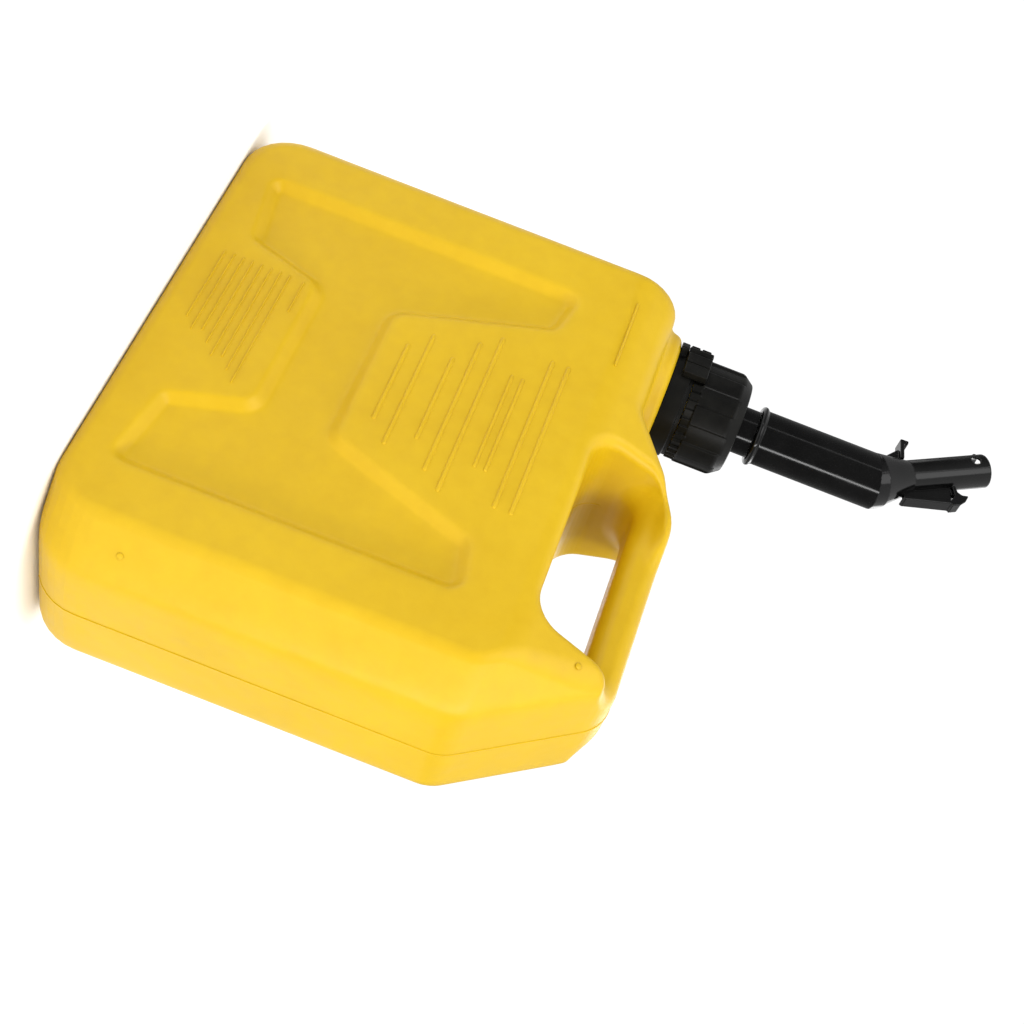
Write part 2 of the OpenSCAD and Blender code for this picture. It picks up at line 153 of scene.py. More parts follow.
def outline(u, v, points):
    """Signed distance to a closed outline."""
    nearest, inside = np.inf, False
    for (au, av), (bu, bv) in zip(points, points[1:] + points[:1]):
        eu, ev = bu - au, bv - av
        if abs(eu) + abs(ev) < 1e-9:
            continue
        t = np.clip(((u - au) * eu + (v - av) * ev) / (eu * eu + ev * ev), 0, 1)
        nearest = np.minimum(nearest, (u - au - eu * t) ** 2 + (v - av - ev * t) ** 2)
        if ev:
            inside = inside ^ (((av <= v) != (bv <= v)) & (u < au + (v - av) * eu / ev))
    return np.where(inside, -1, 1) * np.sqrt(nearest)


# ---------- from shapes to meshes ----------

def zero_quads(field):
    """Quads of the surface where the field changes sign, and their points in grid steps."""
    cells = tuple(n - 1 for n in field.shape)
    total, count = np.zeros((3, np.prod(cells))), np.zeros(np.prod(cells))
    quads = []
    for axis in range(3):
        across, up = (axis + 1) % 3, (axis + 2) % 3
        low = field[tuple(slice(0, -1) if k == axis else slice(1, -1) for k in range(3))]
        high = field[tuple(slice(1, None) if k == axis else slice(1, -1) for k in range(3))]
        at = np.argwhere((low < 0) != (high < 0))
        below, above = low[tuple(at.T)], high[tuple(at.T)]
        at += [0 if k == axis else 1 for k in range(3)]
        point = at.astype(float)
        point[:, axis] += below / (below - above)
        ring = []
        for back_across, back_up in ((1, 1), (0, 1), (0, 0), (1, 0)):
            cell = at.copy()
            cell[:, across] -= back_across
            cell[:, up] -= back_up
            cell = np.ravel_multi_index(tuple(cell.T), cells)
            ring.append(cell)
            count += np.bincount(cell, minlength=len(count))
            for k in range(3):
                total[k] += np.bincount(cell, point[:, k], minlength=len(count))
        quad = np.stack(ring, 1)
        quads.append(np.where((below < 0)[:, None], quad, quad[:, ::-1]))
    quads = np.concatenate(quads)
    used, quads = np.unique(quads, return_inverse=True)
    return (total[:, used] / count[used]).T, quads.reshape(-1, 4)


def slope(shape, points, step=0.04):
    """Gradient of a shape at scattered points."""
    return np.stack([(shape(*(points + move).T) - shape(*(points - move).T)) / (2 * step)
                     for move in np.eye(3) * step], 1)


def mesh_piece(name, points, faces, material, body, slot, replaces=(), normals=None):
    mesh = bpy.data.meshes.new(name)
    mesh.from_pydata((np.asarray(points) * MM).tolist(), [], [list(face) for face in faces])
    mesh.validate()
    mesh.shade_smooth()
    if normals is not None:
        mesh.normals_split_custom_set_from_vertices(normals.tolist())
    mesh.materials.append(material)
    piece = bpy.data.objects.new(name, mesh)
    bpy.context.scene.collection.objects.link(piece)
    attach(piece, body)
    if replaces:
        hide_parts(*replaces)
    return piece


def moulded(name, shape, low, high, pitch, *piece_facts):
    """A moulded piece: the shape's surface, drawn onto it exactly, with its true normals."""
    grid = [np.arange(a - 2.5 * pitch, b + 2.5 * pitch, pitch) for a, b in zip(low, high)]
    x, y, z = grid[0][:, None, None], grid[1][None, :, None], grid[2][None, None, :]
    field = np.broadcast_to(shape(x, y, z), tuple(map(len, grid))).astype(np.float32)
    points, quads = zero_quads(field)
    points = points * pitch + [g[0] for g in grid]
    for _ in range(4):
        rise = slope(shape, points)
        move = rise * (shape(*points.T) / np.maximum((rise ** 2).sum(1), 0.05))[:, None]
        reach = np.linalg.norm(move, axis=1)[:, None]
        points = points - move * np.minimum(1, 0.4 * pitch / np.maximum(reach, 1e-9))
    normals = slope(shape, points)
    normals /= np.linalg.norm(normals, axis=1)[:, None] + 1e-12
    return mesh_piece(name, points, quads, *piece_facts, normals=normals)


def bead(path, half_width, proud, across, close=False, ends=3):
    """Points and faces of a low rounded bead along a path. across is its flat direction."""
    path = np.array(path, float)
    across = np.array(across, float)
    sides = 10
    if close:
        along = np.roll(path, -1, 0) - np.roll(path, 1, 0)
        swell = np.ones(len(path))
    else:
        begin, finish = path[1] - path[0], path[-2] - path[-1]
        begin, finish = begin / np.linalg.norm(begin), finish / np.linalg.norm(finish)
        turn = [math.pi / 2 * k / ends for k in range(1, ends)]
        cap = [half_width * (1 - math.cos(a)) for a in turn]
        path = np.array([path[0] + begin * 1e-3] + [path[0] + begin * c for c in cap]
                        + [path[0] + begin * half_width] + list(path[1:-1])
                        + [path[-1] + finish * half_width] + [path[-1] + finish * c for c in cap[::-1]]
                        + [path[-1] + finish * 1e-3])
        swell = np.array([0.06] + [math.sin(a) for a in turn] + [1] * (len(path) - 2 * ends)
                         + [math.sin(a) for a in turn[::-1]] + [0.06])
        along = np.gradient(path, axis=0)
    along /= np.linalg.norm(along, axis=1)[:, None]
    out = np.cross(along, across)
    points, faces = [], []
    for p, o, s in zip(path, out, swell):
        for k in range(sides):
            a = 2 * math.pi * k / sides
            points.append(p + s * (across * half_width * math.cos(a) + o * proud * math.sin(a)))
    rings = len(path)
    for i in range(rings if close else rings - 1):
        for k in range(sides):
            a, b = i * sides + k, i * sides + (k + 1) % sides
            c, d = (a + sides) % (rings * sides), (b + sides) % (rings * sides)
            faces.append((a, b, d, c))
    if not close:
        faces.append(tuple(range(sides))[::-1])
        faces.append(tuple(range((rings - 1) * sides, rings * sides)))
    return points, faces


def gather(parts):
    """Several sets of points and faces as one."""
    points, faces = [], []
    for some_points, some_faces in parts:
        faces += [tuple(i + len(points) for i in face) for face in some_faces]
        points += list(some_points)
    return points, faces


# ---------- materials ----------

def srgb(code):
    """A linear colour from an sRGB hex value."""
    parts = [int(code[i:i + 2], 16) / 255 for i in (1, 3, 5)]
    return [c / 12.92 if c <= 0.04045 else ((c + 0.055) / 1.055) ** 2.4 for c in parts] + [1.0]


def add_node(tree, kind, settings=(), inputs=()):
    """Adds a node, with settings by attribute, and inputs by name, as values or links."""
    node = tree.nodes.new(kind)
    for key, value in dict(settings).items():
        setattr(node, key, value)
    for key, value in dict(inputs).items():
        if isinstance(value, bpy.types.NodeSocket):
            tree.links.new(value, node.inputs[key])
        else:
            node.inputs[key].default_value = value
    return node


def new_material(name):
    material = bpy.data.materials.new(name)
    material.use_nodes = True
    tree = material.node_tree
    tree.nodes.clear()
    return material, tree


def finish_material(tree, shader):
    output = add_node(tree, "ShaderNodeOutputMaterial")
    tree.links.new(shader.outputs[0], output.inputs["Surface"])


def blow_moulded_hdpe():
    """HDPE, blow-moulded: a soft sheen over a faintly mottled skin, as the parison freezes unevenly
    on a sand-blasted mould. The mottle is 9 and 60 mm across and the ripple 14 mm. The grain is 0.9 mm,
    coarser than the real blast so that it shows."""
    material, tree = new_material("hdpe_blow_moulded_yellow")
    place = add_node(tree, "ShaderNodeTexCoord").outputs["Object"]
    cloud = add_node(tree, "ShaderNodeTexNoise", {}, {
        "Vector": place, "Scale": 1 / (9 * MM), "Detail": 3.0, "Roughness": 0.6})
    wide = add_node(tree, "ShaderNodeTexNoise", {}, {
        "Vector": place, "Scale": 1 / (60 * MM), "Detail": 2.0, "Roughness": 0.5})
    mottle = add_node(tree, "ShaderNodeMath", {"operation": "MULTIPLY_ADD"}, {
        0: wide.outputs["Fac"], 1: 0.7, 2: 0.15})
    both_scales = add_node(tree, "ShaderNodeMath", {"operation": "MULTIPLY_ADD"}, {
        0: cloud.outputs["Fac"], 1: 0.5, 2: mottle.outputs[0]})
    tone = add_node(tree, "ShaderNodeValToRGB", {}, {"Fac": both_scales.outputs[0]})
    tone.color_ramp.elements[0].position, tone.color_ramp.elements[0].color = 0.45, srgb("#BE990B")
    tone.color_ramp.elements[1].position, tone.color_ramp.elements[1].color = 1.0, srgb("#C9A511")
    grain = add_node(tree, "ShaderNodeTexNoise", {}, {
        "Vector": place, "Scale": 1 / (0.9 * MM), "Detail": 2.0, "Roughness": 0.55})
    ripple = add_node(tree, "ShaderNodeTexNoise", {}, {
        "Vector": place, "Scale": 1 / (14 * MM), "Detail": 1.0})
    skin = add_node(tree, "ShaderNodeBump", {}, {
        "Strength": 0.35, "Distance": 0.9 * MM, "Height": ripple.outputs["Fac"]})
    bump = add_node(tree, "ShaderNodeBump", {}, {
        "Strength": 0.22, "Distance": 0.12 * MM, "Height": grain.outputs["Fac"],
        "Normal": skin.outputs["Normal"]})
    sheen = add_node(tree, "ShaderNodeMapRange", {}, {
        "Value": cloud.outputs["Fac"], "From Min": 0.3, "From Max": 0.7, "To Min": 0.36, "To Max": 0.46})
    shader = add_node(tree, "ShaderNodeBsdfPrincipled", {}, {
        "Base Color": tone.outputs["Color"], "Roughness": sheen.outputs["Result"], "IOR": 1.54,
        "Specular IOR Level": 0.22, "Normal": bump.outputs["Normal"]})
    finish_material(tree, shader)
    return material


def black_plastic(name, dark, light, roughness, spread, grain_mm, grain_depth, specular):
    """An injection-moulded black: the carbon-filled colour hardly varies, and the mould's texture
    sets how far its highlights spread."""
    material, tree = new_material(name)
    place = add_node(tree, "ShaderNodeTexCoord").outputs["Object"]
    grain = add_node(tree, "ShaderNodeTexNoise", {}, {
        "Vector": place, "Scale": 1 / (grain_mm * MM), "Detail": 3.0, "Roughness": 0.6})
    flow = add_node(tree, "ShaderNodeTexNoise", {}, {
        "Vector": place, "Scale": 1 / (11 * MM), "Detail": 2.0, "Roughness": 0.5})
    tone = add_node(tree, "ShaderNodeValToRGB", {}, {"Fac": flow.outputs["Fac"]})
    tone.color_ramp.elements[0].position, tone.color_ramp.elements[0].color = 0.35, srgb(dark)
    tone.color_ramp.elements[1].position, tone.color_ramp.elements[1].color = 0.7, srgb(light)
    gloss = add_node(tree, "ShaderNodeMapRange", {}, {
        "Value": flow.outputs["Fac"], "From Min": 0.3, "From Max": 0.7,
        "To Min": roughness - spread, "To Max": roughness + spread})
    bump = add_node(tree, "ShaderNodeBump", {}, {
        "Strength": 0.5, "Distance": grain_depth * MM, "Height": grain.outputs["Fac"]})
    shader = add_node(tree, "ShaderNodeBsdfPrincipled", {}, {
        "Base Color": tone.outputs["Color"], "Roughness": gloss.outputs["Result"], "IOR": 1.5,
        "Specular IOR Level": specular, "Normal": bump.outputs["Normal"]})
    finish_material(tree, shader)
    return material


def inner_material(name, code, other_code, metallic, roughness, grain_mm, depth_mm):
    """A plain finish for a piece inside the can: its colour and roughness with a fine grain."""
    material, tree = new_material(name)
    place = add_node(tree, "ShaderNodeTexCoord").outputs["Object"]
    grain = add_node(tree, "ShaderNodeTexNoise", {}, {
        "Vector": place, "Scale": 1 / (grain_mm * MM), "Detail": 2.0})
    tone = add_node(tree, "ShaderNodeValToRGB", {}, {"Fac": grain.outputs["Fac"]})
    tone.color_ramp.elements[0].position, tone.color_ramp.elements[0].color = 0.3, srgb(code)
    tone.color_ramp.elements[1].position, tone.color_ramp.elements[1].color = 0.7, srgb(other_code)
    bump = add_node(tree, "ShaderNodeBump", {}, {
        "Strength": 0.4, "Distance": depth_mm * MM, "Height": grain.outputs["Fac"]})
    shader = add_node(tree, "ShaderNodeBsdfPrincipled", {}, {
        "Base Color": tone.outputs["Color"], "Metallic": metallic, "Roughness": roughness,
        "Normal": bump.outputs["Normal"]})
    finish_material(tree, shader)
    return material


HDPE_YELLOW = blow_moulded_hdpe()
# Polypropylene, moulded on a fine spark-eroded texture: a satin that lifts the black a little.
PP_SATIN = black_plastic("polypropylene_satin_moulded_black", "#0A0A09", "#11110F",
                         0.36, 0.05, 0.5, 0.05, 0.09)
# Polypropylene, moulded on a polished core: deep black with crisp window-like highlights.
PP_GLOSS = black_plastic("polypropylene_gloss_moulded_black", "#060606", "#0A0A0A",
                         0.13, 0.03, 1.2, 0.012, 0.2)
# Acetal, moulded in its natural white: waxy and slightly translucent.
ACETAL = inner_material("acetal_moulded_natural", "#D9D6CA", "#E2DFD4", 0.0, 0.38, 1.5, 0.01)
# Spring and rod wire, drawn stainless steel: fine lines from the die.
STEEL = inner_material("stainless_steel_drawn", "#9A9C9F", "#B2B4B7", 1.0, 0.28, 0.4, 0.006)
# Nitrile rubber, moulded: a dull near-black.
NITRILE = inner_material("nitrile_rubber_moulded", "#0D0D0D", "#141414", 0.0, 0.62, 0.6, 0.02)

# ---------- tank ----------

TANK_PROFILE = rounded([
    (-HALF_WIDTH, 0, FOOT_RADIUS), (HALF_WIDTH, 0, FOOT_RADIUS), (HALF_WIDTH, SLOPE_START, 20),
    (HALF_WIDTH - 42.5, HANDLE_TOP, 20), (-8, HANDLE_TOP, 34), (-46, SHOULDER, 10),
    (-HALF_WIDTH, SHOULDER, 24)])
GAP_PROFILE = rounded([
    (-18, GAP_FLOOR + 1, 13), (86.5, GAP_FLOOR + 1, 15), (90.5, HANDLE_TOP - 11, 13),
    (108, HANDLE_TOP + 1, 3), (108, TOP_OUT, 2), (30, TOP_OUT, 2),
    (8, HANDLE_TOP - 1, 12), (-18, BAR_BOTTOM + 8.5, 16)])
RECESS_RIGHT = [(38, 61, 8), (50, 24, 7), (93, 17, 7), (93, 178, 8), (65, 172, 8), (39, 100, 8)]
RECESS_PROFILE = rounded(RECESS_RIGHT + [(-u, v, r) for u, v, r in RECESS_RIGHT[::-1]])
BASE_PROFILE = rounded([(-100, -30, 12), (100, -30, 12), (100, 30, 12), (-100, 30, 12)])
RECESS_DEPTH = 4.6
RECESS_EDGE = 1.1
FACE_LEAN = math.atan(LEAN_IN / (HANDLE_TOP - LEAN_START))
PANEL_EDGE = 2.2
BAR_EDGE = 7.5
BAR_FILLET = 13
PEDESTAL_MIDDLE = 215
NECK_MIDDLE = 235
NECK_BORE_END = 205
FOOT_HOLLOW = 2


def gap_edge(x, z):
    """How round the finger gap's rim is: most by the horn, and most of all where it meets the bar."""
    by_horn = 1.5 * (1 - ramp(x, -12, 22))
    by_bar = 5 * ramp(z, 238, 252) * (1 - ramp(x, -4, 20))
    return 4 + by_horn + by_bar


def tank_shape(x, y, z):
    depth = np.abs(y)
    recess = outline(x, z, RECESS_PROFILE)
    sunk = RECESS_DEPTH - soft_max(RECESS_DEPTH - soft_max(-recess, 0, RECESS_EDGE), 0, RECESS_EDGE)
    face = depth - HALF_DEPTH + sunk
    leaning = (depth - HALF_DEPTH) * math.cos(FACE_LEAN) + (z - LEAN_START) * math.sin(FACE_LEAN)
    face = both(face, leaning, PANEL_EDGE)
    block = less(face, outline(x, z, GAP_PROFILE), gap_edge(x, z))
    block = either(block, both(depth - BAR_HALF_DEPTH, BAR_BOTTOM - z, BAR_EDGE), BAR_FILLET)
    # The front and back panels are the same outline drawn in by the bevel, so their corners are round.
    drawn_in = soft_max(depth - (HALF_DEPTH - BEVEL), 0, 4) * ramp(np.abs(x), 60, 90)
    profile = outline(x + np.sign(x) * drawn_in, z, TANK_PROFILE)
    block = both(block, profile, 6.5 - 3.5 * ramp(np.abs(x), 95, 120))
    from_neck = np.hypot(x - NECK_X, y)
    step = both(from_neck - PEDESTAL_RADIUS,
                np.abs(z - PEDESTAL_MIDDLE) - (PEDESTAL_TOP - PEDESTAL_MIDDLE), 5)
    block = either(block, step, 4.5)
    neck = both(from_neck - NECK_RADIUS, np.abs(z - NECK_MIDDLE) - (tank_high[2] - NECK_MIDDLE), 0.6)
    block = either(block, neck, 0.8)
    block = less(block, both(from_neck - NECK_BORE, NECK_BORE_END - z, 1), 0.6)
    return less(block, both(outline(x, y, BASE_PROFILE), z - FOOT_HOLLOW, 1.2), 1.2)


moulded("tank_shell", tank_shape, (-HALF_WIDTH, -HALF_DEPTH, 0), (HALF_WIDTH, HALF_DEPTH, tank_high[2]),
        1.6, HDPE_YELLOW, "can", "tank_hdpe", ("tank",))

# The mould's parting line runs round the middle plane, outside and through the finger gap.
seam = bead([(p[0], 0, p[1]) for p in TANK_PROFILE if p[1] > 3], 0.55, 0.28, (0, 1, 0))
grip_seam = bead([(p[0], 0, p[1]) for p in GAP_PROFILE if p[1] < BAR_BOTTOM - 4], 0.5, 0.25, (0, 1, 0))
mesh_piece("parting_line", *gather([seam, grip_seam]), HDPE_YELLOW, "can", "tank_hdpe")


RIB_PROUD = 0.85
RIB_STEPS = 12


def rib(z, start, end, tall, side):
    """A low raised rib along a flat face, at height z."""
    face = side * (HALF_DEPTH - 0.05)
    path = [(start + (end - start) * k / RIB_STEPS, face, z) for k in range(RIB_STEPS + 1)]
    return bead(path, tall / 2, RIB_PROUD, (0, 0, 1))


# Plain ruled ribs fill the raised panels. The upper panel's are centred: height, half length and
# thickness of each. The lower panel's start in line and get shorter towards the foot.
PANEL_RIBS = [
    (183.4, 46, 2.2), (175.6, 46, 2.2), (166, 29, 1.8), (160.8, 29, 1.8), (150.2, 48.5, 2.2),
    (141.4, 40.5, 2.2), (132.6, 26, 2.2), (120.4, 35, 2.2), (111.6, 24, 2.2)]
FILL_LINE = (203, -100.5, -57.5, 1.2)
FINE_RIB = 0.9
fine_ribs = [(55.5, -36, -16)] + [
    (48.5 - 4.6 * k, -37, 34 - 2.6 * (k % 3) - 3.4 * k) for k in range(8)]
ribs = []
for side in (-1, 1):
    ribs += [rib(z, -half, half, tall, side) for z, half, tall in PANEL_RIBS]
    ribs.append(rib(*FILL_LINE, side))
    ribs += [rib(z, start, end, FINE_RIB, side) for z, start, end in fine_ribs]
mesh_piece("panel_ribs", *gather(ribs), HDPE_YELLOW, "can", "tank_hdpe")


VENT_MARK_RADIUS = 1.5
VENT_MARK_PROUD = 0.4
VENT_MARK_SIDES = 16
VENT_MARK_RISE = ((1, -0.3), (1, 0.4), (0.75, 0.85), (0.35, 1))


def vent_mark(x, y, z, out):
    """A small round mark left by a vent in the mould, on a face that looks along out."""
    side = np.cross(out, (0, 0, 1.0))
    side /= np.linalg.norm(side)
    up = np.cross(side, out)
    points, faces = [], []
    for swell, lift in VENT_MARK_RISE:
        for k in range(VENT_MARK_SIDES):
            a = 2 * math.pi * k / VENT_MARK_SIDES
            round_it = (side * math.cos(a) + up * math.sin(a)) * VENT_MARK_RADIUS * swell
            points.append(np.array((x, y, z)) + out * lift * VENT_MARK_PROUD + round_it)
    for ring in range(len(VENT_MARK_RISE) - 1):
        for k in range(VENT_MARK_SIDES):
            a, b = VENT_MARK_SIDES * ring + k, VENT_MARK_SIDES * ring + (k + 1) % VENT_MARK_SIDES
            faces.append((a, b, b + VENT_MARK_SIDES, a + VENT_MARK_SIDES))
    faces.append(tuple(range(len(points)))[-VENT_MARK_SIDES:])
    faces.append(tuple(range(VENT_MARK_SIDES))[::-1])
    return points, faces


BEVEL_OUT = np.array((1, -1, 0)) / math.sqrt(2)
LEANING_OUT = np.array((0, -math.cos(FACE_LEAN), math.sin(FACE_LEAN)))
PILLAR_MARK = 233.4
pillar_face = (PILLAR_MARK - LEAN_START) * math.tan(FACE_LEAN) - HALF_DEPTH
marks = [vent_mark(130.2, -42.2, 41, BEVEL_OUT), vent_mark(98.5, pillar_face, PILLAR_MARK, LEANING_OUT)]
mesh_piece("mould_vent_marks", *gather(marks), HDPE_YELLOW, "can", "tank_hdpe")


# ---------- lock ring and release lever ----------

def from_neck_axis(x, y):
    return np.hypot(x - NECK_X, y)


def wedge(x, y, start, end):
    """The sector about the neck between two directions, less than half a turn apart."""
    u, v = x - NECK_X, y
    return np.maximum(math.sin(start) * u - math.cos(start) * v,
                      math.cos(end) * v - math.sin(end) * u)


def slab(value, low, high):
    return np.abs(value - (low + high) / 2) - (high - low) / 2


def pivot_distance(x, y):
    return np.hypot(x - NECK_X - PIVOT_RADIUS * math.cos(PIVOT_ANGLE),
                    y - PIVOT_RADIUS * math.sin(PIVOT_ANGLE))


BOSS_SPAN = 0.105
LIP_WALL = 1.5


def lock_ring_shape(x, y, z):
    reach = from_neck_axis(x, y)
    band = both(reach - COLLAR_RADIUS, slab(z, ring_low[2], ring_low[2] + RING_HEIGHT), 0.5)
    lip = both(reach - NECK_RADIUS - LIP_WALL, slab(z, ring_low[2], ring_high[2]), 0.2)
    band = either(band, lip, 0.3)
    boss = both(reach - PIVOT_RADIUS - 2.4,
                wedge(x, y, PIVOT_ANGLE - BOSS_SPAN, PIVOT_ANGLE + BOSS_SPAN), 0.5)
    band = either(band, both(boss, slab(z, ring_low[2], ring_low[2] + 4), 0.4), 0.5)
    return less(band, reach - NECK_RADIUS - 0.05, 0.4)


moulded("lock_ring_band", lock_ring_shape, (NECK_X - 28, -32, ring_low[2]),
        (NECK_X + 28, 28, ring_high[2]), 0.6, PP_SATIN, "can", "satin_black", ("lock_ring",))


LEVER_TAIL = PIVOT_ANGLE - 0.52
LEVER_NOSE = PAWL_ANGLE + 0.21
LEVER_GAP = 0.35
LEVER_WALL = 2.35
PIVOT_EYE = 2.3
PIN_RADIUS = 1.28


def lever_shape(x, y, z):
    """The pawl lever. Its inner face is cleared for the collar at rest and with the lever swung out."""
    reach = from_neck_axis(x, y)
    inner = COLLAR_RADIUS + LEVER_GAP
    outer = inner + LEVER_WALL
    tall = slab(z, lever_low[2], lever_high[2])
    arm = both(both(reach - outer, wedge(x, y, LEVER_TAIL, LEVER_NOSE), 0.5), tall, 0.5)
    eye = both(pivot_distance(x, y) - PIVOT_EYE, tall, 0.5)
    tab = both(both(reach - outer - 1.4, wedge(x, y, LEVER_TAIL, LEVER_TAIL + 0.17), 0.5),
               slab(z, lever_low[2] + 1, lever_high[2] - 1), 0.5)
    notch = both(outer + 0.4 - reach, slab(z, lever_low[2] + 5.4, lever_low[2] + 6.6), 0.2)
    tab = less(tab, notch, 0.3)
    along = (x - NECK_X) * math.cos(PAWL_ANGLE) + y * math.sin(PAWL_ANGLE)
    beside = y * math.cos(PAWL_ANGLE) - (x - NECK_X) * math.sin(PAWL_ANGLE)
    block = both(both(slab(along, inner - 1, inner + 3.4), np.abs(beside) - 7.2, 0.7), tall, 0.6)
    groove = both(slab(beside, -0.4, 0.4), inner + 3.0 - along, 0.1)
    block = less(block, groove, 0.2)
    lever = either(either(either(arm, eye, 0.6), tab, 0.4), block, 0.6)
    lever = less(lever, pivot_distance(x, y) - PIN_RADIUS, 0.3)
    swung = np.hypot(x - NECK_X + 1.83, y - 0.89)
    return less(less(lever, reach - inner, 0.3), swung - inner, 0.3)


moulded("lever_with_pawl", lever_shape, (NECK_X - 32, -33, lever_low[2]),
        (NECK_X + 8, -10, lever_high[2]), 0.45, PP_SATIN, "lever", "satin_black", ("release_lever",))


# ---------- collar ----------

GRIP_RIBS = 8
GRIP_DEPTH = 0.85
RATCHET_TEETH = 36
TOOTH_RISE = 0.18
CHAMFER_RUN = 4.1
TURN = 2 * math.pi


def collar_shape(x, y, z):
    reach, turn = from_neck_axis(x, y), np.arctan2(y, x - NECK_X)
    tooth_top = collar_low[2] + TOOTH_HEIGHT
    flange_top = collar_high[2] - COLLAR_CHAMFER
    from_rib = np.abs((turn / TURN * GRIP_RIBS + 0.5) % 1 - 0.5) * TURN / GRIP_RIBS * COLLAR_RADIUS
    grip = reach - COLLAR_RADIUS + GRIP_DEPTH * ramp(from_rib, 4.7, 5.7)
    chamfer = ((reach - COLLAR_RADIUS) * COLLAR_CHAMFER + (z - flange_top) * CHAMFER_RUN) / math.hypot(
        COLLAR_CHAMFER, CHAMFER_RUN)
    shell = both(both(grip, chamfer, 0.7), z - collar_high[2], 0.6)
    shell = both(shell, tooth_top - z, 0.4)
    tooth = (turn / TURN * RATCHET_TEETH) % 1
    sunk = np.where(tooth < TOOTH_RISE, 1 - tooth / TOOTH_RISE, (tooth - TOOTH_RISE) / (1 - TOOTH_RISE))
    skirt = both(reach - COLLAR_RADIUS + 0.55 + sunk, slab(z, collar_low[2], tooth_top + 1), 0.2)
    whole = either(shell, skirt, 0.2)
    whole = less(whole, both(reach - COLLAR_BORE, z - flange_top, 0.3), 0.3)
    return less(whole, reach - STEM_RADIUS - 0.3, 0.5)


moulded("screw_collar_shell", collar_shape, collar_low, collar_high, 0.55,
        PP_SATIN, "screw_collar", "satin_black", ("collar",))


# ---------- stem, spout, hook and catch ----------

O_RING_GROOVES = (3.75, 14.75)
GROOVE_HALF = 0.7
FLANGE = 2.5


def stem_shape(x, y, z):
    reach = from_neck_axis(x, y)
    flange_top = collar_high[2] - COLLAR_CHAMFER
    tube = both(reach - STEM_RADIUS, slab(z, flange_top - 1, stem_high[2]), 0.5)
    flange = both(reach - NECK_RADIUS + 0.3, slab(z, flange_top - FLANGE, flange_top), 0.3)
    spigot = both(reach - NECK_BORE + 0.5, slab(z, stem_low[2], flange_top - 1), 0.3)
    spigot = less(spigot, both(reach - NECK_BORE + 2.1, z - flange_top + FLANGE, 0.2), 0.2)
    body = either(either(tube, flange, 0.2), spigot, 0.2)
    for above_sleeve in O_RING_GROOVES:
        middle = sleeve_low[2] + above_sleeve
        groove = np.maximum(STEM_RADIUS - 1 - reach, slab(z, middle - GROOVE_HALF, middle + GROOVE_HALF))
        body = less(body, groove, 0.1)
    return less(body, reach - STEM_BORE, 0.4)


moulded("stem_tube_moulding", stem_shape, stem_low, stem_high, 0.6,
        PP_GLOSS, "pourer", "gloss_black", ("stem_tube",))


def tip_frame(x, z):
    """Distance along the tip from the bend, and sideways from its axis towards +X."""
    u, v = x - NECK_X, z - BEND_Z
    return (v * math.cos(TIP_LEAN) - u * math.sin(TIP_LEAN),
            u * math.cos(TIP_LEAN) + v * math.sin(TIP_LEAN))


BEAD_RADIUS = 1.8
VENT_RADIUS = 2.4


def spout_shape(x, y, z):
    """Barrel, bend, taper and tip as one wall, with the bead at its foot and the nib at its mouth."""
    reach = from_neck_axis(x, y)
    along, side = tip_frame(x, z)
    tip_reach = np.hypot(side, y)
    share = np.clip((along - TAPER[0]) / (TAPER[1] - TAPER[0]), 0, 1)
    past_bend = ((z - BEND_Z) * math.cos(TIP_LEAN / 2) - (x - NECK_X) * math.sin(TIP_LEAN / 2))
    turn = ramp(past_bend, -0.5, 0.5)
    outer_tip = tip_reach - BARREL_RADIUS - (TIP_RADIUS - BARREL_RADIUS) * share
    inner_tip = tip_reach - BARREL_BORE - (TIP_BORE - BARREL_BORE) * share
    outer = (reach - BARREL_RADIUS) * (1 - turn) + outer_tip * turn
    inner = (reach - BARREL_BORE) * (1 - turn) + inner_tip * turn
    outer = both(outer, sleeve_low[2] - z, 0.4)
    bead_ring = np.hypot(reach - BARREL_RADIUS + 0.4, z - sleeve_low[2] - BEAD_RADIUS) - BEAD_RADIUS
    outer = either(outer, bead_ring, 0.5)
    nib = both(both(np.abs(side + TIP_RADIUS + 0.5) - 1, np.abs(y) - 1.5, 0.3),
               np.abs(along - TIP_REACH + 1.2) - 1.1, 0.3)
    outer = either(outer, nib, 0.4)
    outer = both(outer, along - TIP_REACH, 0.7)
    outer = less(outer, inner, 0.5)
    vent = both(np.hypot(side + 1.5, along - TIP_REACH + 7) - VENT_RADIUS, y, 0.1)
    return less(outer, vent, 0.35)


nozzle_low, nozzle_high = extent("nozzle")
moulded("spout_moulding", spout_shape, np.minimum(sleeve_low, nozzle_low),
        np.maximum(sleeve_high, nozzle_high), 0.6, PP_GLOSS, "spout", "gloss_black",
        ("sleeve", "nozzle"))

HOOK_WEB = rounded([(-0.6, 13.5, 0.4), (4.7, 13, 0.4), (9.7, 37, 0.4), (-0.6, 42.6, 0.4)], 2)
HOOK_FLANGE = rounded([
    (4.2, 11.2, 0.5), (5.7, 12.4, 0.6), (10.9, 36.4, 0.5), (12.1, 36.6, 0.4), (12.1, 41, 1.2),
    (10.5, 44.6, 1.5), (7.4, 47.6, 0.4), (6.5, 44.2, 1.5), (4.3, 42.4, 1.5), (0.6, 42.8, 0.5),
    (0.6, 40.8, 0.5), (6.1, 40, 1.5), (9.1, 37, 1.5), (3.7, 13.2, 0.5)], 4)


def hook_shape(x, y, z):
    along, side = tip_frame(x, z)
    web = both(outline(side - TIP_RADIUS, along, HOOK_WEB), np.abs(y) - 1.2, 0.3)
    flange = both(outline(side - TIP_RADIUS, along, HOOK_FLANGE), np.abs(y) - 3.5, 0.5)
    return either(web, flange, 0.5)


